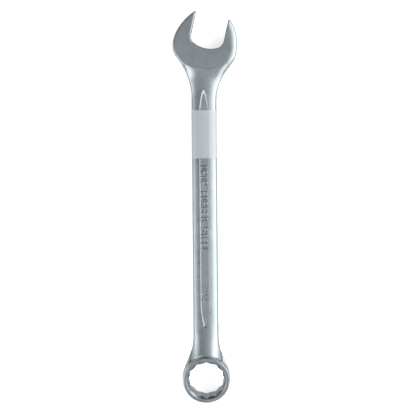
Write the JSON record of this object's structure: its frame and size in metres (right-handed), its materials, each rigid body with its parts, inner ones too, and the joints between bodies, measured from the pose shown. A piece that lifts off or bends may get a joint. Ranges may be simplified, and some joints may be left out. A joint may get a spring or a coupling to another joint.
{
  "type": "combination wrench",
  "caption": "Forged steel combination wrench: an angled open jaw at one end, a tilted multi-point ring at the other, and a plain film label round the shank.",
  "frame": {"origin": "centre of the ring's bore, halfway through the ring on the bore's axis", "axes": "+Y along the shank from the ring to the open end, +Z square to the shank's faces on the side that the ring's far edge leans away from, +X to the right with +Y up and +Z towards the reader; the bore's axis is tilted 15 degrees from +Z towards -Y"},
  "size_m": [0.0471, 0.2849, 0.0222],
  "materials": {
    "satin_chrome": "satin chrome plate on drop-forged steel, fine blasted grain, with smoother ground faces on the open head and in the jaw",
    "label_film": "plain pale grey printed film, semi-matte"
  },
  "bodies": {
    "root": {"forged_body": "satin_chrome", "film_label": "label_film"}
  },
  "joints": []
}
